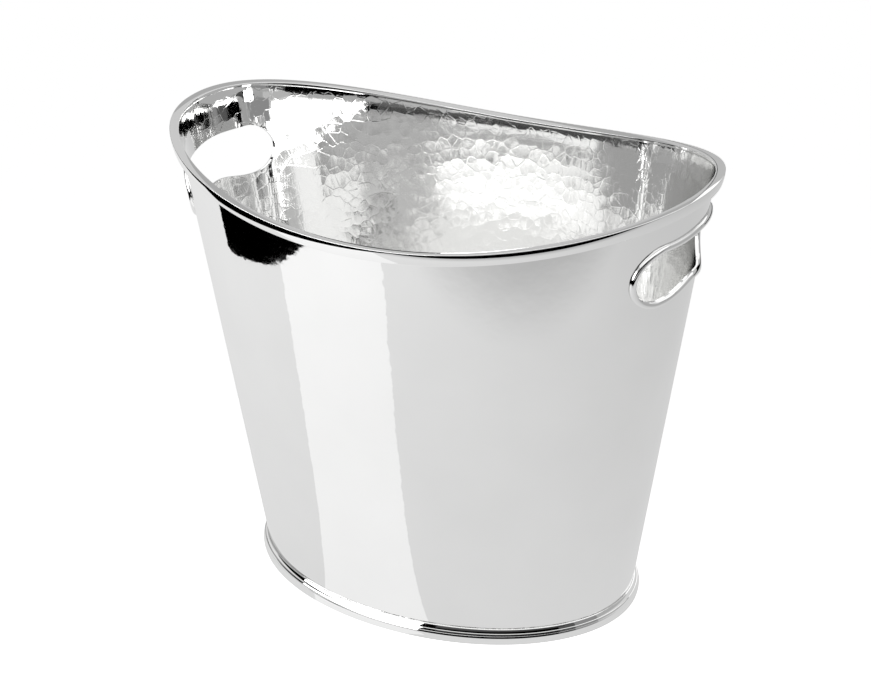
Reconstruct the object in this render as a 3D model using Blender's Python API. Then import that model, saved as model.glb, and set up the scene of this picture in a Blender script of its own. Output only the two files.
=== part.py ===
"""Oval silver champagne bucket: a flaring sheet wall with a hand slot through each end.

Metres, +Z up, +X along the bucket's length. The origin is on the ground, under the middle.
A section is given at an angle t around the oval, from t = 0 at the +X end. Its points are offsets,
measured outwards from the wall's straight outer face, and heights, or depths below the rim's top.
"""

import math

import bmesh
import bpy
from mathutils import Matrix, Vector

# Overall size
LENGTH = 0.340  # over the rim
WIDTH = 0.2158  # over the rim
HEIGHT_AT_SIDE = 0.262  # the rim's low point, in the middle of each long side
HEIGHT_AT_END = 0.286  # the rim's high point, over each hand slot
FOOT_LENGTH = 0.2545
FOOT_WIDTH = 0.1771

# Shape of the oval and of the rim's sweep
FOOT_SQUARENESS = 2.0  # superellipse exponent at the ground: 2 is a true ellipse
RIM_SQUARENESS = 2.1
RIM_SWEEP = 1.87  # how sharply the rim climbs towards the ends

# The sheet wall
SHEET = 0.0012
GAP = 0.0003  # left between pieces that are soldered together
WALL_BOTTOM = 0.0020
THINNED = 0.0006  # how much the sheet is filed away on the inside, towards its top edge
THINNED_DEPTH = 0.014

# The rim moulding, which caps the wall
RIM_OVERHANG = 0.0047
RIM_DEPTH = 0.0072
RIM_CAP = 0.0027  # depth of the cap's underside, over the wall's edge
RIM_WIDEST = 0.0016  # depth where the moulding's face stands upright
RIM_FACE_RADIUS = 0.020

# The foot moulding, which the wall stands in: a plain band, reeds above it and a cove
FOOT_PROJECTION = 0.00475
FOOT_FLANGE = 0.0017
FOOT_FLANGE_REACH = 0.0040  # how far the flange runs in under the wall
FOOT_BAND = 0.0044  # height of the plain band
FOOT_BAND_BULGE = 0.0012
FOOT_HEIGHT = 0.0099
REED_COUNT = 2
REED_RADIUS = 0.00088
REED_OFFSET = 0.0024  # the lowest reed's centre line, outside the wall
REED_STEP = 0.0007  # how much nearer to the wall the next reed is
REED_ARC = math.radians(66)  # each reed is round this far above and below its middle
COVE_HEIGHT = 0.0018
COVE_OFFSET = 0.0007

# The bottom, a shallow tray set upside down
BOTTOM_HEIGHT = 0.0100

# The hand slots and the half-round wire around each one
SLOT_CENTRE = 0.24185
SLOT_REACH = 0.0450  # half the slot's length, across the bucket's end
SLOT_RADIUS = 0.01545
SLOT_TOP_RISE = 0.0012
SLOT_BOTTOM_RISE = 0.0046
WIRE_WIDTH = 0.0042
WIRE_HEIGHT = 0.0022

STEPS_AROUND = 96
STEPS_ALONG_SLOT = 16
STEPS_AROUND_SLOT_END = 14
STEPS_ACROSS_WIRE = 6
SMOOTH_UP_TO = math.radians(35)

ALONG_END = LENGTH / 2 - RIM_OVERHANG
ALONG_SIDE = WIDTH / 2 - RIM_OVERHANG
GROUND_END = FOOT_LENGTH / 2 - FOOT_PROJECTION
GROUND_SIDE = FOOT_WIDTH / 2 - FOOT_PROJECTION


def cone_plan(z):
    """Half length, half width and squareness of the wall's straight outer face at height z."""
    half_length = GROUND_END + (ALONG_END - GROUND_END) * z / HEIGHT_AT_END
    half_width = GROUND_SIDE + (ALONG_SIDE - GROUND_SIDE) * z / HEIGHT_AT_SIDE
    squareness = FOOT_SQUARENESS + (RIM_SQUARENESS - FOOT_SQUARENESS) * z / HEIGHT_AT_SIDE
    return half_length, half_width, squareness


def oval_point(t, half_length, half_width, squareness, z):
    power = 2 / squareness
    c = math.cos(t)
    s = math.sin(t)
    x = math.copysign(half_length * abs(c) ** power, c)
    y = math.copysign(half_width * abs(s) ** power, s)
    return Vector((x, y, z))


def from_cone(t, offset, z):
    """The point this far outside the wall's straight outer face, at height z."""
    half_length, half_width, squareness = cone_plan(z)
    return oval_point(t, half_length + offset, half_width + offset, squareness, z)


def from_ground_plan(t, offset, z):
    """The same, measured from the oval where the straight face meets the ground."""
    half_length, half_width, squareness = cone_plan(0)
    return oval_point(t, half_length + offset, half_width + offset, squareness, z)


def rim_height(t):
    climb = abs(math.cos(t)) ** RIM_SWEEP
    return HEIGHT_AT_SIDE + (HEIGHT_AT_END - HEIGHT_AT_SIDE) * climb


def below_rim(t, offset, depth):
    return from_cone(t, offset, rim_height(t) - depth)


def inner_offset(depth):
    """The offset of the wall's inner face, this far below the rim."""
    fade = 1 - depth / THINNED_DEPTH
    return THINNED * max(fade, 0) ** 2 - SHEET


def blend(start, end, steps):
    return [start + (end - start) * i / steps for i in range(steps + 1)]


def silver(name, value, roughness):
    """A polished silver material: a grey value, slightly warm, fully metallic."""
    material = bpy.data.materials.new(name)
    material.use_nodes = True
    shader = material.node_tree.nodes["Principled BSDF"]
    shader.inputs["Base Color"].default_value = (value, value * 0.995, value * 0.98, 1)
    shader.inputs["Metallic"].default_value = 1
    shader.inputs["Roughness"].default_value = roughness
    return material


def add_object(name, points, faces, material):
    mesh = bpy.data.meshes.new(name)
    mesh.from_pydata(points, [], faces)
    shape = bmesh.new()
    shape.from_mesh(mesh)
    bmesh.ops.recalc_face_normals(shape, faces=shape.faces)
    shape.to_mesh(mesh)
    shape.free()
    if material:
        mesh.materials.append(material)
    mesh.shade_smooth()
    mesh.set_sharp_from_angle(angle=SMOOTH_UP_TO)
    made = bpy.data.objects.new(name, mesh)
    bpy.context.scene.collection.objects.link(made)
    return made


def skin(sections, closed_section):
    """Points and faces that join a closed row of sections, each a list of as many points."""
    size = len(sections[0])
    points = [point for section in sections for point in section]
    across = range(size if closed_section else size - 1)
    faces = []
    for i in range(len(sections)):
        here = i * size
        there = (i + 1) % len(sections) * size
        for j in across:
            k = (j + 1) % size
            faces.append((here + j, here + k, there + k, there + j))
    return points, faces


def add_ring(name, section, material):
    """A closed section carried once around the oval."""
    angles = [math.tau * i / STEPS_AROUND for i in range(STEPS_AROUND)]
    points, faces = skin([section(t) for t in angles], True)
    return add_object(name, points, faces, material)


def wall_section(t):
    """From the outer bottom edge, up the outside, over the top and down the inside."""
    top = rim_height(t)
    edge = RIM_CAP + GAP
    section = [from_cone(t, 0, z) for z in blend(WALL_BOTTOM, top - edge, 6)]
    section += [below_rim(t, inner_offset(depth), depth) for depth in blend(edge, THINNED_DEPTH, 3)]
    section += [from_cone(t, -SHEET, z) for z in blend(top - THINNED_DEPTH, WALL_BOTTOM, 5)[1:]]
    return section


def rim_section(t):
    """Over the cap from the inner lip, down the rounded face and back under the wall's edge."""
    inner_lip = inner_offset(RIM_CAP)
    outline = [
        (inner_lip, 0.0014),
        (inner_lip + 0.0004, 0.0009),
        (RIM_OVERHANG - 0.0009, 0.0001),
        (RIM_OVERHANG - 0.0003, 0.0003),
        (RIM_OVERHANG - 0.00005, 0.0008),
    ]
    for depth in blend(RIM_WIDEST, RIM_DEPTH - 0.0002, 4):
        recess = (depth - RIM_WIDEST) ** 2 / (2 * RIM_FACE_RADIUS)
        outline.append((RIM_OVERHANG - recess, depth))
    outline += [
        (RIM_OVERHANG - 0.0010, RIM_DEPTH),
        (GAP, RIM_DEPTH),
        (GAP, RIM_CAP),
        (inner_lip, RIM_CAP),
    ]
    return [below_rim(t, offset, depth) for offset, depth in outline]


def foot_section(t):
    """Out under the flange, up the plain band, the reeds and the cove, and down behind them."""
    section = [from_ground_plan(t, -FOOT_FLANGE_REACH, 0)]
    for turn in blend(-math.pi / 2, math.pi / 2, 4):
        offset = FOOT_PROJECTION - FOOT_BAND_BULGE * (1 - math.cos(turn))
        height = FOOT_BAND / 2 * (1 + math.sin(turn))
        section.append(from_ground_plan(t, offset, height))
    for reed in range(REED_COUNT):
        centre_offset = REED_OFFSET - REED_STEP * reed
        centre_height = FOOT_BAND + REED_RADIUS * (1 + 2 * reed)
        for turn in (-REED_ARC, -REED_ARC / 3, REED_ARC / 3, REED_ARC):
            offset = centre_offset + REED_RADIUS * math.cos(turn)
            height = centre_height + REED_RADIUS * math.sin(turn)
            section.append(from_cone(t, offset, height))
    section.append(from_cone(t, COVE_OFFSET * 1.3, FOOT_HEIGHT - COVE_HEIGHT / 2))
    section.append(from_cone(t, COVE_OFFSET, FOOT_HEIGHT))
    section.append(from_cone(t, GAP, FOOT_HEIGHT))
    section.append(from_cone(t, GAP, FOOT_FLANGE))
    section.append(from_cone(t, -FOOT_FLANGE_REACH, FOOT_FLANGE))
    return section


def add_bottom(material):
    """A flat oval with its edge turned down inside the wall."""
    outside = -SHEET - GAP
    inside = outside - SHEET
    corner = 0.0008
    outline = (
        (outside - corner, BOTTOM_HEIGHT),
        (outside, BOTTOM_HEIGHT - corner),
        (outside, WALL_BOTTOM),
        (inside, WALL_BOTTOM),
        (inside, BOTTOM_HEIGHT - SHEET),
    )
    angles = [math.tau * i / STEPS_AROUND for i in range(STEPS_AROUND)]
    sections = [[from_cone(t, offset, z) for offset, z in outline] for t in angles]
    points, faces = skin(sections, False)
    size = len(outline)
    faces.append([i * size for i in range(STEPS_AROUND)])
    faces.append([i * size + size - 1 for i in range(STEPS_AROUND)])
    return add_object("bottom_plate", points, faces, material)


def slot_outline():
    """The hand slot seen along X, as (y, z): round ends, and long edges that arch in the middle."""
    straight = SLOT_REACH - SLOT_RADIUS
    outline = []

    def long_edge(y_values, side, rise):
        for y in y_values:
            arch = rise * (1 + math.cos(math.pi * y / straight)) / 2
            outline.append((y, SLOT_CENTRE + side * SLOT_RADIUS + arch))

    def round_end(side):
        for turn in blend(-90, 90, STEPS_AROUND_SLOT_END)[1:-1]:
            y = straight + SLOT_RADIUS * math.cos(math.radians(turn))
            z = SLOT_CENTRE + side * SLOT_RADIUS * math.sin(math.radians(turn))
            outline.append((side * y, z))

    long_edge(blend(-straight, straight, STEPS_ALONG_SLOT), -1, SLOT_BOTTOM_RISE)
    round_end(1)
    long_edge(blend(straight, -straight, STEPS_ALONG_SLOT), 1, SLOT_TOP_RISE)
    round_end(-1)
    return outline


def add_slot_cutter():
    """One prism along the bucket, which opens the slots at both ends."""
    outline = slot_outline()
    reach = LENGTH / 2
    size = len(outline)
    points = [(-reach, y, z) for y, z in outline] + [(reach, y, z) for y, z in outline]
    faces = [(i, (i + 1) % size, size + (i + 1) % size, size + i) for i in range(size)]
    faces.append(list(range(size)))
    faces.append(list(range(size, 2 * size)))
    cutter = add_object("slot_cutter", points, faces, None)
    cutter.hide_render = True
    cutter.display_type = "WIRE"
    return cutter


def on_wall(y, z):
    """The point of the wall's outer face at the +X end with this y and z."""
    half_length, half_width, squareness = cone_plan(z)
    across = (abs(y) / half_width) ** squareness
    return Vector((half_length * (1 - across) ** (1 / squareness), y, z))


def wire_sections():
    """Half-round sections around the slot, their flat sides on the wall's outer face."""
    path = slot_outline()
    step = 0.0005
    sections = []
    for i, (y, z) in enumerate(path):
        here = on_wall(y, z)
        along = on_wall(*path[(i + 1) % len(path)]) - on_wall(*path[i - 1])
        normal = (on_wall(y + step, z) - here).cross(on_wall(y, z + step) - here).normalized()
        outwards = along.cross(normal).normalized()
        section = []
        for turn in blend(0, math.pi, STEPS_ACROSS_WIRE):
            across = WIRE_WIDTH / 2 * (1 - math.cos(turn))
            up = GAP + WIRE_HEIGHT * math.sin(turn)
            section.append(here + outwards * across + normal * up)
        sections.append(section)
    return sections


def add_handle_borders(material):
    points, faces = skin(wire_sections(), True)
    right = add_object("handle_border_right", points, faces, material)
    left = bpy.data.objects.new("handle_border_left", right.data)
    left.matrix_world = Matrix.Rotation(math.pi, 4, "Z")
    bpy.context.scene.collection.objects.link(left)


def add_wall(material):
    wall = add_ring("body_wall", wall_section, material)
    cut = wall.modifiers.new("hand_slots", "BOOLEAN")
    cut.operation = "DIFFERENCE"
    cut.solver = "EXACT"
    cut.object = add_slot_cutter()


def main():
    for old in list(bpy.data.objects):
        bpy.data.objects.remove(old, do_unlink=True)
    add_wall(silver("silver_wall", 0.88, 0.06))
    add_bottom(silver("silver_bottom", 0.84, 0.18))
    add_ring("foot_moulding", foot_section, silver("silver_foot", 0.87, 0.05))
    add_ring("rim_moulding", rim_section, silver("silver_rim", 0.87, 0.05))
    add_handle_borders(silver("silver_handle_border", 0.87, 0.05))


main()
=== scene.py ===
"""The looks of the oval silver champagne bucket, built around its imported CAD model.

Metres, +Z up, +X along the bucket's length. Each CAD node is replaced by a fine version of itself:
the wall with its hammered inside, the mouldings and wires with smooth sections, and the bottom.
An angle t runs around the oval from t = 0 at the +X end. An offset is measured outwards from the
wall's straight outer face, and a depth is measured down from the rim's top.
"""

import math

import bmesh
import bpy
import numpy as np
from mathutils import Matrix, Vector


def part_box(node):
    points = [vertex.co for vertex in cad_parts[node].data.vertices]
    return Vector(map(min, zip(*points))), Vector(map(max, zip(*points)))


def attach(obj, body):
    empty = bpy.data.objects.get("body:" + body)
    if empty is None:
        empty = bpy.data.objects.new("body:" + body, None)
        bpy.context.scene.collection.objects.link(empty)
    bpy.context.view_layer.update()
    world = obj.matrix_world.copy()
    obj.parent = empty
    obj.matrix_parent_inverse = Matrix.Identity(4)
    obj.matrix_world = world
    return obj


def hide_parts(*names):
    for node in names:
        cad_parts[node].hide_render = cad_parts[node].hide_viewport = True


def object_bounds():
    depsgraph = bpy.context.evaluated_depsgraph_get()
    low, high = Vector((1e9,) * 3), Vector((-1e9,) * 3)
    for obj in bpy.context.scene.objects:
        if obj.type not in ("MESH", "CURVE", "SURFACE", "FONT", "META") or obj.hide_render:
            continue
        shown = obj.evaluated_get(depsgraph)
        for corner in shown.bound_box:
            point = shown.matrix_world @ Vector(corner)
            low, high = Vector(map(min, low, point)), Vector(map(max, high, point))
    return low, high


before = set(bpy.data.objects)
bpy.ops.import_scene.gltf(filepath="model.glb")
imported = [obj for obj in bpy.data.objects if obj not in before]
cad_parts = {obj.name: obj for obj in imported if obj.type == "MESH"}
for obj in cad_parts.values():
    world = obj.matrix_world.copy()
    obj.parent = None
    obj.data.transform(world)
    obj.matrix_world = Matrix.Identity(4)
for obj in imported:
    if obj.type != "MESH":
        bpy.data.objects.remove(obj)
CAD_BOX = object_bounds()

# Size, from the frame
RIM_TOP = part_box("rim_moulding")[1]
FOOT_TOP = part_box("foot_moulding")[1]
ROUNDING = 0.0001  # how far the rim's rounded edges stay inside its nominal size
RIM_OVERHANG = 0.0047
RIM_DIP = 0.0240
FOOT_PROJECTION = 0.00475
HEIGHT_AT_END = RIM_TOP.z + ROUNDING
HEIGHT_AT_SIDE = HEIGHT_AT_END - RIM_DIP

# Half the wall's length and width, at the rim and at the ground
RIM_LENGTH = RIM_TOP.x + ROUNDING - RIM_OVERHANG
RIM_WIDTH = RIM_TOP.y + ROUNDING - RIM_OVERHANG
GROUND_LENGTH = FOOT_TOP.x - FOOT_PROJECTION
GROUND_WIDTH = FOOT_TOP.y - FOOT_PROJECTION

# Shape of the oval and of the rim's sweep
GROUND_SQUARENESS = 2.0
RIM_SQUARENESS = 2.1
RIM_SWEEP = 1.87

# The sheet wall
SHEET = 0.0012
WALL_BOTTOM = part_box("body_wall")[0].z
THINNED = 0.0006  # how much is filed off the inside at the top edge
THINNED_DEPTH = 0.014
SOLDER = 0.00003  # pieces that are soldered together stand this close

# The rim moulding
RIM_DEPTH = 0.0072
RIM_CAP = 0.0027  # depth of the cap's underside, over the wall's edge
RIM_WIDEST = 0.0026  # depth where its face stands out furthest
RIM_FACE_RADIUS = 0.020
RIM_EDGE_RADIUS = 0.0003
RIM_LOWER_RADIUS = 0.00035
RIM_LIP = 0.0010  # depth where its inner lip starts to round over
RIM_LIP_ROUNDING = (0.00018, 0.0002)  # across and up

# The foot moulding
FOOT_FLANGE = 0.0017
FOOT_FLANGE_REACH = 0.0040  # how far the flange runs in under the wall
FOOT_HEIGHT = FOOT_TOP.z
FOOT_BAND = 0.00575  # height of the plain band
FOOT_BAND_WIDEST = 0.0026
FOOT_BAND_RADIUS = 0.0062
FOOT_BAND_CORNERS = (0.0004, 0.0001)  # the radius of its lower and of its upper corner
REED_HEIGHTS = (0.00115, 0.00210)
REED_OFFSETS = (0.00330, 0.00208)  # of their lower edges from the wall
REED_LEAN = 31.5  # degrees from upright
REED_ARC = 5  # degrees to either side of its middle
COVE_HEIGHT = 0.00015

# The bottom
BOTTOM_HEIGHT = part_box("bottom_plate")[1].z
BOTTOM_CORNER = 0.0008
BOTTOM_CENTRE = 0.02  # the flat face at its centre, as a share of the whole

# The hand slots and their wires
SLOT_CENTRE = 0.24185
SLOT_REACH = 0.0450
SLOT_RADIUS = 0.01545
SLOT_TOP_RISE = 0.0012
SLOT_BOTTOM_RISE = 0.0046
CUTTER_EXTRA = 0.01  # how far the cutter reaches past both ends
WIRE_WIDTH = 0.0042
WIRE_HEIGHT = 0.0022

# How fine the meshes are
WALL_COLUMNS = 180  # outside; the inside has INNER_SHARE times as many
INNER_SHARE = 3
OUTER_ROWS = 48
OUTER_CROWDING = 0.85  # below 1, rows crowd together towards the rim
INNER_ROWS = 152
INNER_CROWDING = 1.15  # above 1 does the same here, as these rows run down from the rim
RING_COLUMNS = 480
BOTTOM_COLUMNS = 240
BOTTOM_ROWS = 48
UNDERSIDE_ROWS = 16
SLOT_STEPS = 48
WIRE_STEPS = 20
FACE_STEPS = 16
BAND_STEPS = 20
COVE_STEPS = 8

# Hammer marks inside: shallow overlapping dents that meet in ridges
UNHAMMERED_DEPTH = 0.004
HAMMERED_GROWTH = 0.012  # how much deeper the marks reach their full height
HAMMERED_LEAST = 0.25  # their height at the rim, as a share of the full height
MARK_SPACING = 0.0068
MARK_RANDOMNESS = 0.9
MARK_HEIGHT = 0.000046
MARK_SHARPNESS = 2.4  # above 2, the marks are flatter inside and their ridges narrower
CREASE_WIDTH = 0.07  # of the fine crease on a ridge, as a share of the spacing
CREASE_HEIGHT = 0.000007

# Waves that the planishing hammer left outside
WAVE_SEED = 7
WAVE_COUNT = 24
WAVE_LENGTHS = (0.016, 0.045)
WAVE_HEIGHT = 0.000022

# Silver
SILVER_DARKER = (0.925, 0.925, 0.922, 1)
SILVER_LIGHTER = (0.955, 0.955, 0.952, 1)
SHARP_ANGLE = math.radians(42)

# The camera
CAMERA_AZIMUTH = math.radians(29.12)
CAMERA_ELEVATION = math.radians(27.34)
CAMERA_ROLL = math.radians(-1.42)
CAMERA_DISTANCE = 1.2304
CAMERA_AIM = Vector((0, 0, 0.1105))
CAMERA_ACROSS = -0.0052
CAMERA_RAISE = 0.0343
CAMERA_LENS = 82.74

# The table that the silver mirrors, along and across the camera's view
ACROSS = math.degrees(CAMERA_AZIMUTH)
TOWARDS = ACROSS - 90
TABLE_Z = -0.0002
TABLE_LEFT = -0.486
TABLE_RIGHT = 1.30
TABLE_BACK = -1.40
TABLE_FRONT = 0.50
TABLE_GLOW = 0.715
TABLE_FALL = -0.24  # painted shade: how its glow changes across it, per metre
TABLE_DIM_FROM = 0.36  # towards the camera, where its painted shade starts
TABLE_DIM = 0.34
FAR_TABLE_BACK = 0.95
FAR_TABLE_FRONT = 2.4
FAR_TABLE_GLOW = 0.5
BEAM_GLOW = 0.17  # painted light: how much brighter the table glows where the key light grazes it
BEAM = [(-0.040, -0.075), (-0.385, -0.301), (-0.219, -0.606), (0.030, -0.090)]
SIDE_TABLE = [(-0.50, -0.09), (-0.66, -0.09), (-1.24, 0.96), (-1.10, 0.98)]

# What the camera sees around the bucket
FLOOR_Z = -0.0004
FLOOR_REACH = 6
BACKGROUND_GLOW = 1.05

# The soft box overhead, in the table's directions
OVERHEAD_Z = 1.6
OVERHEAD_LEFT = -1.6
OVERHEAD_RIGHT = 2.4
OVERHEAD_BACK = -1.2
OVERHEAD_FRONT = 2.8
OVERHEAD_GLOW = 1.15


# Sections and ovals, on arrays of angles


def cone_plan(z):
    """Half length, half width and squareness of the wall's outer face at height z."""
    half_length = GROUND_LENGTH + (RIM_LENGTH - GROUND_LENGTH) * z / HEIGHT_AT_END
    half_width = GROUND_WIDTH + (RIM_WIDTH - GROUND_WIDTH) * z / HEIGHT_AT_SIDE
    squareness = GROUND_SQUARENESS + (RIM_SQUARENESS - GROUND_SQUARENESS) * z / HEIGHT_AT_SIDE
    return half_length, half_width, squareness


def oval(t, half_length, half_width, squareness, z):
    power = 2 / squareness
    c = np.cos(t)
    s = np.sin(t)
    x = half_length * np.copysign(np.abs(c) ** power, c)
    y = half_width * np.copysign(np.abs(s) ** power, s)
    return np.stack(np.broadcast_arrays(x, y, z), axis=-1)


def from_cone(t, offset, z):
    half_length, half_width, squareness = cone_plan(z)
    return oval(t, half_length + offset, half_width + offset, squareness, z)


def from_ground_plan(t, offset, z):
    half_length, half_width, squareness = cone_plan(0)
    return oval(t, half_length + offset, half_width + offset, squareness, z)


def rim_height(t):
    return HEIGHT_AT_SIDE + (HEIGHT_AT_END - HEIGHT_AT_SIDE) * np.abs(np.cos(t)) ** RIM_SWEEP


def below_rim(t, offset, depth):
    return from_cone(t, offset, rim_height(t) - depth)


def inner_offset(depth):
    """The wall's inner face, which is filed away a little towards the top edge."""
    return THINNED * np.clip(1 - depth / THINNED_DEPTH, 0, 1) ** 2 - SHEET


def face_offset(depth):
    """The rim moulding's outer face."""
    return RIM_OVERHANG - (depth - RIM_WIDEST) ** 2 / (2 * RIM_FACE_RADIUS)


def band_offset(z):
    """The foot's plain band."""
    return FOOT_PROJECTION - (z - FOOT_BAND_WIDEST) ** 2 / (2 * FOOT_BAND_RADIUS)


def round_corner(centre, radius, start, end, steps):
    """Points of a section's round stretch. Turns are in degrees from straight outwards."""
    turns = np.radians(np.linspace(start, end, steps + 1))
    return [(centre[0] + radius * np.cos(a), centre[1] + radius * np.sin(a)) for a in turns]


# Meshes


def angles_around(count):
    return np.linspace(0, 2 * np.pi, count, endpoint=False)


def band_faces(lower, upper):
    """Faces between two closed rows of vertices. The upper row may be several times as fine."""
    share = len(upper) // len(lower)
    faces = []
    for i, low in enumerate(lower):
        top = [upper[(share * i + k) % len(upper)] for k in range(share + 1)]
        faces.append((low, lower[(i + 1) % len(lower)], *reversed(top)))
    return faces


def number_rows(rows):
    """The vertex numbers of each row, when the rows are stacked into one mesh."""
    starts = np.cumsum([0] + [len(row) for row in rows]).tolist()
    return [list(range(start, end)) for start, end in zip(starts, starts[1:])]


def add_mesh(name, points, faces):
    mesh = bpy.data.meshes.new(name)
    mesh.from_pydata(np.asarray(points).tolist(), [], faces)
    shape = bmesh.new()
    shape.from_mesh(mesh)
    bmesh.ops.recalc_face_normals(shape, faces=shape.faces)
    shape.to_mesh(mesh)
    shape.free()
    made = bpy.data.objects.new(name, mesh)
    bpy.context.scene.collection.objects.link(made)
    return made


def add_ring(name, rows):
    """A closed section carried around an oval: each row is one of its points, all the way round."""
    numbers = number_rows(rows)
    faces = []
    for row, following in zip(numbers, numbers[1:] + numbers[:1]):
        faces += band_faces(row, following)
    return add_mesh(name, np.vstack(rows), faces)


def finish_piece(piece, node, slot, *materials):
    """Smooth shading, materials, and the frame's root body as the piece's parent."""
    for material in materials:
        piece.data.materials.append(material)
    piece.data.shade_smooth()
    piece.data.set_sharp_from_angle(angle=SHARP_ANGLE)
    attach(piece, "root")
    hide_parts(node)


# The wall


def add_wall_blank():
    """The wall before its slots are cut: fine rows inside, and coarser ones outside."""
    outside = angles_around(WALL_COLUMNS)
    inside = angles_around(WALL_COLUMNS * INNER_SHARE)
    edge = RIM_CAP + SOLDER
    rows = []
    wall_height = rim_height(outside) - edge - WALL_BOTTOM
    for share in np.linspace(0, 1, OUTER_ROWS) ** OUTER_CROWDING:
        rows.append(from_cone(outside, 0, WALL_BOTTOM + wall_height * share))
    depths = []
    wall_height = rim_height(inside) - edge - WALL_BOTTOM
    for share in 1 - np.linspace(0, 1, INNER_ROWS) ** INNER_CROWDING:
        z = WALL_BOTTOM + wall_height * share
        depth = rim_height(inside) - z
        rows.append(from_cone(inside, inner_offset(depth), z))
        depths.append(depth)
    numbers = number_rows(rows)
    faces = []
    for lower, upper in zip(numbers, numbers[1:]):
        faces += band_faces(lower, upper)
    faces += band_faces(numbers[0], numbers[-1])
    wall = add_mesh("body_wall_silver", np.vstack(rows), faces)
    inner_first = numbers[OUTER_ROWS][0]
    share_hammered = (np.concatenate(depths) - UNHAMMERED_DEPTH) / HAMMERED_GROWTH
    share_hammered = np.clip(share_hammered, HAMMERED_LEAST, 1)
    values = np.concatenate((np.zeros(inner_first), share_hammered))
    hammered = wall.data.attributes.new("hammered", "FLOAT", "POINT")
    hammered.data.foreach_set("value", values.astype(np.float32))
    for face in wall.data.polygons:
        face.material_index = int(min(face.vertices) >= inner_first)
    return wall


def slot_outline():
    """The hand slot seen along X: (y, z) points, from the lower left corner anticlockwise."""
    straight = SLOT_REACH - SLOT_RADIUS
    y = np.linspace(-straight, straight, SLOT_STEPS + 1)
    arch = (1 + np.cos(np.pi * y / straight)) / 2
    turn = np.linspace(-np.pi / 2, np.pi / 2, SLOT_STEPS + 1)[1:-1]
    end_y = straight + SLOT_RADIUS * np.cos(turn)
    end_z = SLOT_CENTRE + SLOT_RADIUS * np.sin(turn)
    bottom = np.column_stack((y, SLOT_CENTRE - SLOT_RADIUS + SLOT_BOTTOM_RISE * arch))
    right = np.column_stack((end_y, end_z))
    top = np.column_stack((-y, SLOT_CENTRE + SLOT_RADIUS + SLOT_TOP_RISE * arch))
    left = np.column_stack((-end_y, 2 * SLOT_CENTRE - end_z))
    return np.vstack((bottom, right, top, left))


def keep_modifiers(piece):
    """Replaces the piece's mesh by what its modifiers make of it."""
    graph = bpy.context.evaluated_depsgraph_get()
    result = bpy.data.meshes.new_from_object(piece.evaluated_get(graph), depsgraph=graph)
    piece.modifiers.clear()
    piece.data = result


def cut_slots(wall):
    """Cuts one prism, which runs along the bucket, out of both ends of the wall."""
    outline = slot_outline()
    count = len(outline)
    reach = CAD_BOX[1][0] + CUTTER_EXTRA
    ends = [np.column_stack((np.full(count, x), outline)) for x in (-reach, reach)]
    faces = [(i, (i + 1) % count, count + (i + 1) % count, count + i) for i in range(count)]
    faces += [tuple(range(count)), tuple(range(count, 2 * count))]
    cutter = add_mesh("slot_cutter", np.vstack(ends), faces)
    cut = wall.modifiers.new("hand_slots", "BOOLEAN")
    cut.operation = "DIFFERENCE"
    cut.solver = "EXACT"
    cut.object = cutter
    keep_modifiers(wall)
    bpy.data.objects.remove(cutter)


def hammer_height(nodes, links, position):
    """Adds nodes that give a surface's height over the bottoms of its hammer marks, in metres.

    The height grows with the distance to the nearest blow, ever faster, so marks meet in crisp
    ridges. The same nodes shape the mesh and its fine bump.
    """
    cells = nodes.new("ShaderNodeTexVoronoi")
    cells.feature = "F1"
    cells.inputs["Scale"].default_value = 1 / MARK_SPACING
    cells.inputs["Randomness"].default_value = MARK_RANDOMNESS
    rise = nodes.new("ShaderNodeMath")
    rise.operation = "POWER"
    rise.inputs[1].default_value = MARK_SHARPNESS
    height = nodes.new("ShaderNodeMath")
    height.operation = "MULTIPLY"
    height.inputs[1].default_value = MARK_HEIGHT
    links.new(position, cells.inputs["Vector"])
    links.new(cells.outputs["Distance"], rise.inputs[0])
    links.new(rise.outputs[0], height.inputs[0])
    return height.outputs[0]


def crease_height(nodes, links, position):
    """Adds nodes for the fine creases along the ridges between hammer marks, in metres."""
    cells = nodes.new("ShaderNodeTexVoronoi")
    cells.feature = "DISTANCE_TO_EDGE"
    cells.inputs["Scale"].default_value = 1 / MARK_SPACING
    cells.inputs["Randomness"].default_value = MARK_RANDOMNESS
    crease = nodes.new("ShaderNodeMapRange")
    crease.inputs["From Min"].default_value = 0
    crease.inputs["From Max"].default_value = CREASE_WIDTH
    crease.inputs["To Min"].default_value = CREASE_HEIGHT
    crease.inputs["To Max"].default_value = 0
    links.new(position, cells.inputs["Vector"])
    links.new(cells.outputs["Distance"], crease.inputs["Value"])
    return crease.outputs["Result"]


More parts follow.
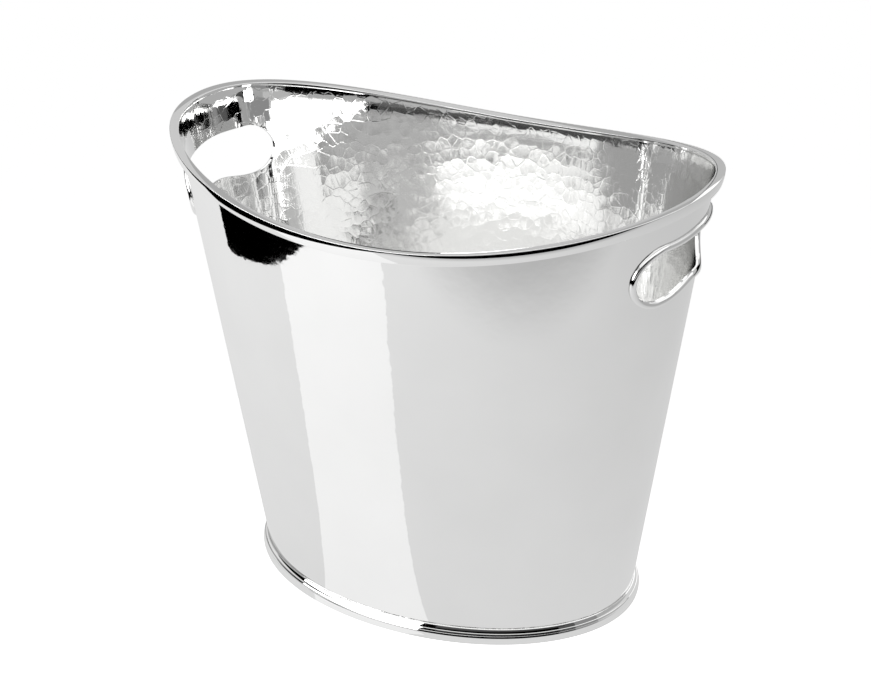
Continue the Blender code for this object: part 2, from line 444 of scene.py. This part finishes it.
def hammer(wall):
    """Raises the ridges between the hammer marks, as far as the attribute "hammered" says."""
    tree = bpy.data.node_groups.new("hammer_marks", "GeometryNodeTree")
    tree.interface.new_socket("Geometry", in_out="INPUT", socket_type="NodeSocketGeometry")
    tree.interface.new_socket("Geometry", in_out="OUTPUT", socket_type="NodeSocketGeometry")
    nodes = tree.nodes
    links = tree.links
    start = nodes.new("NodeGroupInput")
    end = nodes.new("NodeGroupOutput")
    position = nodes.new("GeometryNodeInputPosition")
    normal = nodes.new("GeometryNodeInputNormal")
    share = nodes.new("GeometryNodeInputNamedAttribute")
    share.data_type = "FLOAT"
    share.inputs["Name"].default_value = "hammered"
    height = hammer_height(nodes, links, position.outputs[0])
    shared = nodes.new("ShaderNodeMath")
    shared.operation = "MULTIPLY"
    raised = nodes.new("ShaderNodeVectorMath")
    raised.operation = "SCALE"
    move = nodes.new("GeometryNodeSetPosition")
    links.new(height, shared.inputs[0])
    links.new(share.outputs[0], shared.inputs[1])
    links.new(normal.outputs[0], raised.inputs[0])
    links.new(shared.outputs[0], raised.inputs["Scale"])
    links.new(start.outputs[0], move.inputs["Geometry"])
    links.new(raised.outputs[0], move.inputs["Offset"])
    links.new(move.outputs[0], end.inputs[0])
    wall.modifiers.new("hammer_marks", "NODES").node_group = tree
    keep_modifiers(wall)


def planish(wall):
    """Adds very shallow waves to the outside, where the attribute "hammered" is zero."""
    mesh = wall.data
    count = len(mesh.vertices)
    place = np.empty(count * 3)
    normal = np.empty(count * 3)
    share = np.empty(count)
    mesh.vertices.foreach_get("co", place)
    mesh.vertex_normals.foreach_get("vector", normal)
    mesh.attributes["hammered"].data.foreach_get("value", share)
    place = place.reshape(-1, 3)
    chooser = np.random.default_rng(WAVE_SEED)
    total = np.zeros(count)
    for _ in range(WAVE_COUNT):
        heading = chooser.normal(size=3)
        wave = heading / np.linalg.norm(heading) * 2 * np.pi / chooser.uniform(*WAVE_LENGTHS)
        total += np.sin(place @ wave + chooser.uniform(0, 2 * np.pi))
    height = WAVE_HEIGHT * total / math.sqrt(WAVE_COUNT) * (share == 0)
    place += normal.reshape(-1, 3) * height[:, None]
    mesh.vertices.foreach_set("co", place.ravel())


# The other pieces


def add_rim():
    """A moulding over the wall's edge: a sloping top, a tight outer edge and a full face."""
    t = angles_around(RING_COLUMNS)
    lip = inner_offset(RIM_CAP)
    across, up = RIM_LIP_ROUNDING
    section = [(lip + across * (1 - math.cos(a)), RIM_LIP - up * math.sin(a))
               for a in np.radians((0, 20, 40, 60, 78))]
    edge_depth = ROUNDING + RIM_EDGE_RADIUS
    edge = (face_offset(edge_depth) - RIM_EDGE_RADIUS, edge_depth)
    section += round_corner(edge, RIM_EDGE_RADIUS, -97, -12, 8)
    for depth in np.linspace(edge_depth, RIM_DEPTH - RIM_LOWER_RADIUS, FACE_STEPS)[1:]:
        section.append((face_offset(depth), depth))
    lower = (section[-1][0] - RIM_LOWER_RADIUS, RIM_DEPTH - RIM_LOWER_RADIUS)
    section += round_corner(lower, RIM_LOWER_RADIUS, 10, 90, 6)
    section += [(SOLDER, RIM_DEPTH), (SOLDER, RIM_CAP), (lip, RIM_CAP)]
    return add_ring("rim_moulding_silver", [below_rim(t, offset, depth) for offset, depth in section])


def add_foot():
    """A plain rounded band, two reeds and a cove, with a flange under the wall."""
    t = angles_around(RING_COLUMNS)
    rows = [from_ground_plan(t, -FOOT_FLANGE_REACH, 0)]
    low, high = FOOT_BAND_CORNERS
    band = round_corner((band_offset(low) - low, low), low, -90, -25, 6)
    band += [(band_offset(z), z) for z in np.linspace(low, FOOT_BAND - high, BAND_STEPS)[1:]]
    band += round_corner((band[-1][0] - high, FOOT_BAND - high), high, 15, 90, 5)
    rows += [from_ground_plan(t, offset, z) for offset, z in band]
    top = FOOT_BAND
    for height, offset in zip(REED_HEIGHTS, REED_OFFSETS):
        radius = height / (2 * math.sin(math.radians(REED_ARC)) * math.cos(math.radians(REED_LEAN)))
        start = math.radians(REED_LEAN - REED_ARC)
        centre = (offset - radius * math.cos(start), top - radius * math.sin(start))
        reed = round_corner(centre, radius, REED_LEAN - REED_ARC, REED_LEAN + REED_ARC, 6)
        rows += [from_cone(t, out, z) for out, z in reed]
        reed_offset, top = reed[-1]
    for share in np.linspace(0, 1, COVE_STEPS)[1:]:
        cove_offset = SOLDER + (reed_offset - SOLDER) * (1 - share) ** 2
        rows.append(from_cone(t, cove_offset, top + COVE_HEIGHT * share))
    rows.append(from_cone(t, SOLDER, FOOT_HEIGHT))
    rows.append(from_cone(t, SOLDER, FOOT_FLANGE))
    rows.append(from_cone(t, -FOOT_FLANGE_REACH, FOOT_FLANGE))
    return add_ring("foot_moulding_silver", rows)


def add_bottom():
    """A tray, turned down inside the wall."""
    t = angles_around(BOTTOM_COLUMNS)
    outside = -SHEET - SOLDER
    inside = outside - SHEET
    plan = from_cone(t, outside - BOTTOM_CORNER, BOTTOM_HEIGHT)
    rows = [plan * (share, share, 1) for share in np.linspace(BOTTOM_CENTRE, 1, BOTTOM_ROWS)]
    corner = (outside - BOTTOM_CORNER, BOTTOM_HEIGHT - BOTTOM_CORNER)
    rows += [from_cone(t, offset, z) for offset, z in round_corner(corner, BOTTOM_CORNER, 75, 0, 5)]
    rows.append(from_cone(t, outside, WALL_BOTTOM))
    rows.append(from_cone(t, inside, WALL_BOTTOM))
    under = from_cone(t, inside, BOTTOM_HEIGHT - SHEET)
    rows += [under * (share, share, 1) for share in np.linspace(1, BOTTOM_CENTRE, UNDERSIDE_ROWS)]
    numbers = number_rows(rows)
    faces = [tuple(numbers[0]), tuple(numbers[-1])]
    for lower, upper in zip(numbers, numbers[1:]):
        faces += band_faces(lower, upper)
    return add_mesh("bottom_plate_silver", np.vstack(rows), faces)


def on_wall(y, z):
    """Points of the wall's outer face at the +X end with these y and z."""
    half_length, half_width, squareness = cone_plan(z)
    across = (np.abs(y) / half_width) ** squareness
    return np.stack((half_length * (1 - across) ** (1 / squareness), y, z), axis=-1)


def unit(vectors):
    return vectors / np.linalg.norm(vectors, axis=-1, keepdims=True)


def add_wire(side):
    """A half-round wire around the hand slot at the +X end (right) or at the -X end (left)."""
    y, z = slot_outline().T
    here = on_wall(y, z)
    step = 0.0005
    normal = unit(np.cross(on_wall(y + step, z) - here, on_wall(y, z + step) - here))
    along = np.roll(here, -1, axis=0) - np.roll(here, 1, axis=0)
    outwards = unit(np.cross(along, normal))
    rows = []
    for turn in np.linspace(0, np.pi, WIRE_STEPS + 1):
        across = WIRE_WIDTH / 2 * (1 - math.cos(turn))
        up = SOLDER + WIRE_HEIGHT * math.sin(turn)
        rows.append(here + outwards * across + normal * up)
    wire = add_ring(f"handle_border_{side}_silver", rows)
    if side == "left":
        wire.data.transform(Matrix.Rotation(math.pi, 4, "Z"))
    return wire


# Materials


def silver(name, roughness, smudge, wave, wave_size, hammered=0):
    """Polished silver: polishing marks and smudges in its gloss, and a faint unevenness.

    wave and wave_size are the height and the size of the faint waves, in metres. hammered is how
    much of the hammer marks' height is added as bump, to sharpen those of the mesh.
    """
    material = bpy.data.materials.new(name)
    material.use_nodes = True
    nodes = material.node_tree.nodes
    links = material.node_tree.links
    shader = nodes["Principled BSDF"]
    shader.inputs["Metallic"].default_value = 1
    place = nodes.new("ShaderNodeTexCoord").outputs["Object"]

    tone = nodes.new("ShaderNodeTexNoise")
    tone.inputs["Scale"].default_value = 18
    tone.inputs["Detail"].default_value = 4
    tint = nodes.new("ShaderNodeValToRGB")
    tint.color_ramp.elements[0].position = 0.3
    tint.color_ramp.elements[0].color = SILVER_DARKER
    tint.color_ramp.elements[1].position = 0.7
    tint.color_ramp.elements[1].color = SILVER_LIGHTER
    links.new(place, tone.inputs["Vector"])
    links.new(tone.outputs["Fac"], tint.inputs["Fac"])
    links.new(tint.outputs["Color"], shader.inputs["Base Color"])

    marks = nodes.new("ShaderNodeTexNoise")
    marks.inputs["Scale"].default_value = 60
    marks.inputs["Detail"].default_value = 8
    marks.inputs["Roughness"].default_value = 0.65
    gloss = nodes.new("ShaderNodeMapRange")
    gloss.inputs["From Min"].default_value = 0.35
    gloss.inputs["From Max"].default_value = 0.75
    gloss.inputs["To Min"].default_value = roughness
    gloss.inputs["To Max"].default_value = roughness + smudge
    links.new(place, marks.inputs["Vector"])
    links.new(marks.outputs["Fac"], gloss.inputs["Value"])
    links.new(gloss.outputs["Result"], shader.inputs["Roughness"])

    waves = nodes.new("ShaderNodeTexNoise")
    waves.inputs["Scale"].default_value = 1 / wave_size
    waves.inputs["Detail"].default_value = 1.5
    relief = nodes.new("ShaderNodeMath")
    relief.operation = "MULTIPLY"
    relief.inputs[1].default_value = wave
    bump = nodes.new("ShaderNodeBump")
    bump.inputs["Distance"].default_value = 1
    links.new(place, waves.inputs["Vector"])
    links.new(waves.outputs["Fac"], relief.inputs[0])
    height = relief.outputs[0]
    if hammered:
        for extra, factor in (
            (hammer_height(nodes, links, place), hammered),
            (crease_height(nodes, links, place), 1),
        ):
            total = nodes.new("ShaderNodeMath")
            total.operation = "MULTIPLY_ADD"
            total.inputs[1].default_value = factor
            links.new(extra, total.inputs[0])
            links.new(height, total.inputs[2])
            height = total.outputs[0]
    links.new(height, bump.inputs["Height"])
    links.new(bump.outputs["Normal"], shader.inputs["Normal"])
    return material


# The studio: a white table, soft boxes and cards. Only the silver sees them


def heading(azimuth):
    angle = math.radians(azimuth)
    return Vector((math.cos(angle), math.sin(angle), 0))


def table_point(across, towards, z):
    return heading(ACROSS) * across + heading(TOWARDS) * towards + Vector((0, 0, z))


def glow(name, brightness, top_brightness=None):
    """A glowing card, evenly bright or changing evenly from its bottom to its top."""
    material = bpy.data.materials.new(name)
    material.use_nodes = True
    nodes = material.node_tree.nodes
    links = material.node_tree.links
    nodes.clear()
    light = nodes.new("ShaderNodeEmission")
    light.inputs["Strength"].default_value = brightness
    out = nodes.new("ShaderNodeOutputMaterial")
    links.new(light.outputs[0], out.inputs["Surface"])
    if top_brightness is not None:
        place = nodes.new("ShaderNodeTexCoord")
        axes = nodes.new("ShaderNodeSeparateXYZ")
        fade = nodes.new("ShaderNodeMapRange")
        fade.inputs["To Min"].default_value = brightness
        fade.inputs["To Max"].default_value = top_brightness
        links.new(place.outputs["Generated"], axes.inputs[0])
        links.new(axes.outputs["Z"], fade.inputs["Value"])
        links.new(fade.outputs["Result"], light.inputs["Strength"])
    return material


def add_panel(name, corners, material):
    panel = add_mesh(name, corners, [tuple(range(len(corners)))])
    panel.data.materials.append(material)
    panel.visible_camera = False
    panel.visible_diffuse = False
    panel.visible_shadow = False
    return panel


def add_level_panel(name, left, right, back, front, z, material):
    """A level panel, in the table's directions."""
    corners = [
        table_point(left, front, z),
        table_point(right, front, z),
        table_point(right, back, z),
        table_point(left, back, z),
    ]
    add_panel(name, corners, material)


def add_card(name, start, end, distance, bottom, top, *brightness):
    """A glowing upright card that spans these azimuths (degrees) as seen from the bucket."""
    left = heading(start) * distance
    right = heading(end) * distance
    low = Vector((0, 0, bottom))
    high = Vector((0, 0, top))
    add_panel(name, [left + low, right + low, right + high, left + high], glow(name, *brightness))


def painted_light_paper(name, brightness):
    """White paper that the silver sees, with its light and shade painted into its glow: darker to the
    right and close to the camera.
    """
    material = bpy.data.materials.new(name)
    material.use_nodes = True
    nodes = material.node_tree.nodes
    links = material.node_tree.links
    nodes.clear()
    place = nodes.new("ShaderNodeNewGeometry")
    side = nodes.new("ShaderNodeVectorMath")
    side.operation = "DOT_PRODUCT"
    side.inputs[1].default_value = heading(ACROSS)
    front = nodes.new("ShaderNodeVectorMath")
    front.operation = "DOT_PRODUCT"
    front.inputs[1].default_value = heading(TOWARDS)
    fall = nodes.new("ShaderNodeMath")
    fall.operation = "MULTIPLY_ADD"
    fall.inputs[1].default_value = TABLE_FALL
    fall.inputs[2].default_value = brightness
    dim = nodes.new("ShaderNodeMapRange")
    dim.interpolation_type = "SMOOTHSTEP"
    dim.inputs["From Min"].default_value = TABLE_DIM_FROM
    dim.inputs["From Max"].default_value = TABLE_FRONT
    dim.inputs["To Min"].default_value = 1
    dim.inputs["To Max"].default_value = 1 - TABLE_DIM
    strength = nodes.new("ShaderNodeMath")
    strength.operation = "MULTIPLY"
    light = nodes.new("ShaderNodeEmission")
    out = nodes.new("ShaderNodeOutputMaterial")
    links.new(place.outputs["Position"], side.inputs[0])
    links.new(place.outputs["Position"], front.inputs[0])
    links.new(side.outputs["Value"], fall.inputs[0])
    links.new(front.outputs["Value"], dim.inputs["Value"])
    links.new(fall.outputs[0], strength.inputs[0])
    links.new(dim.outputs["Result"], strength.inputs[1])
    links.new(strength.outputs[0], light.inputs["Strength"])
    links.new(light.outputs[0], out.inputs["Surface"])
    return material


def add_table():
    """What the silver sees of the table, with the key light's beam painted across it."""
    paper = painted_light_paper("table", TABLE_GLOW)
    add_level_panel("table", TABLE_LEFT, TABLE_RIGHT, TABLE_BACK, TABLE_FRONT, TABLE_Z, paper)
    add_panel("side_table", [(x, y, TABLE_Z) for x, y in SIDE_TABLE], paper)
    far_paper = glow("far_table", FAR_TABLE_GLOW)
    add_level_panel(
        "far_table", TABLE_LEFT, TABLE_RIGHT, FAR_TABLE_BACK, FAR_TABLE_FRONT, TABLE_Z, far_paper)
    # The key light's beam: a painted pool of light, glowing brighter on the table
    beam = painted_light_paper("table_painted_beam", TABLE_GLOW + BEAM_GLOW)
    add_panel("table_painted_beam", [(x, y, TABLE_Z / 2) for x, y in BEAM], beam)


def add_floor():
    """What the camera sees: a plain white floor."""
    reach = FLOOR_REACH
    corners = [(-reach, -reach), (reach, -reach), (reach, reach), (-reach, reach)]
    floor = add_mesh("floor", [(x, y, FLOOR_Z) for x, y in corners], [(0, 1, 2, 3)])
    material = bpy.data.materials.new("floor")
    material.use_nodes = True
    shader = material.node_tree.nodes["Principled BSDF"]
    shader.inputs["Base Color"].default_value = (0.8, 0.8, 0.8, 1)
    shader.inputs["Roughness"].default_value = 1
    shader.inputs["Specular IOR Level"].default_value = 0
    shader.inputs["Emission Color"].default_value = (1, 1, 1, 1)
    shader.inputs["Emission Strength"].default_value = 1
    floor.data.materials.append(material)
    floor.visible_glossy = False


def add_lights():
    """Cards all round the bucket, and a soft box overhead. The camera is at azimuth 299.

    Each card is given by the azimuths of its sides, its distance, its lower and upper height, and
    its brightness, or its brightness at the bottom and at the top.
    """
    add_card("key_soft_box", 203, 262, 1.5, 0.42, 0.75, 3.2)
    add_card("key_low_soft_box", 208, 262, 1.5, 0.10, 0.42, 3.2)
    add_card("key_glow", 202, 248, 1.5, 0.74, 1.15, 1.5, 0.75)
    add_card("key_side", 248, 264, 1.5, 0.75, 1.15, 0.65)
    add_card("front_high_card", 264, 278, 1.5, 0.90, 1.6, 0.65, 1.1)
    add_card("front_dim_card", 268, 335, 1.5, 0.37, 0.88, 0.03, 0.17)
    add_card("left_card", 120, 182, 1.5, -0.10, 0.12, 0.85)
    add_card("back_low_card", 112, 150, 1.5, 0.05, 0.75, 0.55)
    add_card("back_left_card", 150, 196, 1.5, 0.50, 0.75, 0.40)
    add_card("back_card", 112, 156, 1.5, 0.74, 1.15, 0.42)
    add_card("back_far_left_card", 156, 202, 1.5, 0.74, 1.15, 0.42)
    add_card("back_high_card", 112, 156, 1.5, 1.15, 2.2, 0.62)
    add_card("back_high_left_card", 156, 202, 1.5, 1.15, 2.2, 0.62)
    add_card("right_back_card", 62, 112, 1.6, 0.76, 2.2, 1.12)
    add_card("right_back_low_card", 58, 112, 1.6, 0.30, 0.76, 0.50)
    add_card("right_high_card", 20, 62, 1.6, 0.85, 2.2, 0.55, 0.95)
    add_card("right_card", 2, 58, 1.7, -0.35, 0.9, 0.42)
    add_card("right_front_card", -18, 2, 1.7, -0.35, 0.9, 0.26)
    add_card("right_front_dim_card", -30, -18, 1.7, -0.35, 0.6, 0.09)
    soft_box = glow("overhead_soft_box", OVERHEAD_GLOW)
    add_level_panel(
        "overhead_soft_box", OVERHEAD_LEFT, OVERHEAD_RIGHT, OVERHEAD_BACK, OVERHEAD_FRONT,
        OVERHEAD_Z, soft_box)


def add_background():
    """White behind everything for the camera, and nothing for the silver."""
    world = bpy.data.worlds.new("background")
    world.use_nodes = True
    world.node_tree.nodes["Background"].inputs["Color"].default_value = (1, 1, 1, 1)
    world.node_tree.nodes["Background"].inputs["Strength"].default_value = BACKGROUND_GLOW
    world.cycles_visibility.glossy = False
    world.cycles_visibility.diffuse = False
    bpy.context.scene.world = world


def add_camera():
    side = heading(ACROSS)
    flat = Vector((-side.y, side.x, 0))
    back = Vector((0, 0, math.sin(CAMERA_ELEVATION))) - flat * math.cos(CAMERA_ELEVATION)
    up = back.cross(side)
    across = side * math.cos(CAMERA_ROLL) + up * math.sin(CAMERA_ROLL)
    upwards = up * math.cos(CAMERA_ROLL) - side * math.sin(CAMERA_ROLL)
    turn = Matrix((across, upwards, back)).transposed().to_4x4()
    place = CAMERA_AIM + back * CAMERA_DISTANCE + across * CAMERA_ACROSS + upwards * CAMERA_RAISE
    lens = bpy.data.cameras.new("camera")
    lens.lens = CAMERA_LENS
    lens.sensor_width = 36
    lens.sensor_fit = "HORIZONTAL"
    camera = bpy.data.objects.new("camera", lens)
    camera.matrix_world = Matrix.Translation(place) @ turn
    bpy.context.scene.collection.objects.link(camera)
    bpy.context.scene.camera = camera


def build_bucket():
    outside = silver(
        "silver_wall_outside", roughness=0.018, smudge=0.03, wave=0.000028, wave_size=0.006)
    inside = silver(
        "silver_wall_inside", roughness=0.02, smudge=0.04, wave=0.000006, wave_size=0.004,
        hammered=0.4)
    wall = add_wall_blank()
    cut_slots(wall)
    hammer(wall)
    planish(wall)
    finish_piece(wall, "body_wall", "silver_wall", outside, inside)
    bottom = silver(
        "silver_bottom", roughness=0.12, smudge=0.08, wave=0.000010, wave_size=0.006,
        hammered=0.6)
    finish_piece(add_bottom(), "bottom_plate", "silver_bottom", bottom)
    moulding = silver(
        "silver_moulding", roughness=0.02, smudge=0.03, wave=0.000003, wave_size=0.012)
    finish_piece(add_rim(), "rim_moulding", "silver_rim", moulding)
    finish_piece(add_foot(), "foot_moulding", "silver_foot", moulding)
    for side in ("right", "left"):
        finish_piece(add_wire(side), f"handle_border_{side}", "silver_handle_border", moulding)


def main():
    add_camera()
    add_background()
    add_floor()
    add_table()
    add_lights()
    build_bucket()
    scene = bpy.context.scene
    scene.view_settings.view_transform = "Standard"
    scene.cycles.max_bounces = 16
    scene.cycles.glossy_bounces = 16


main()
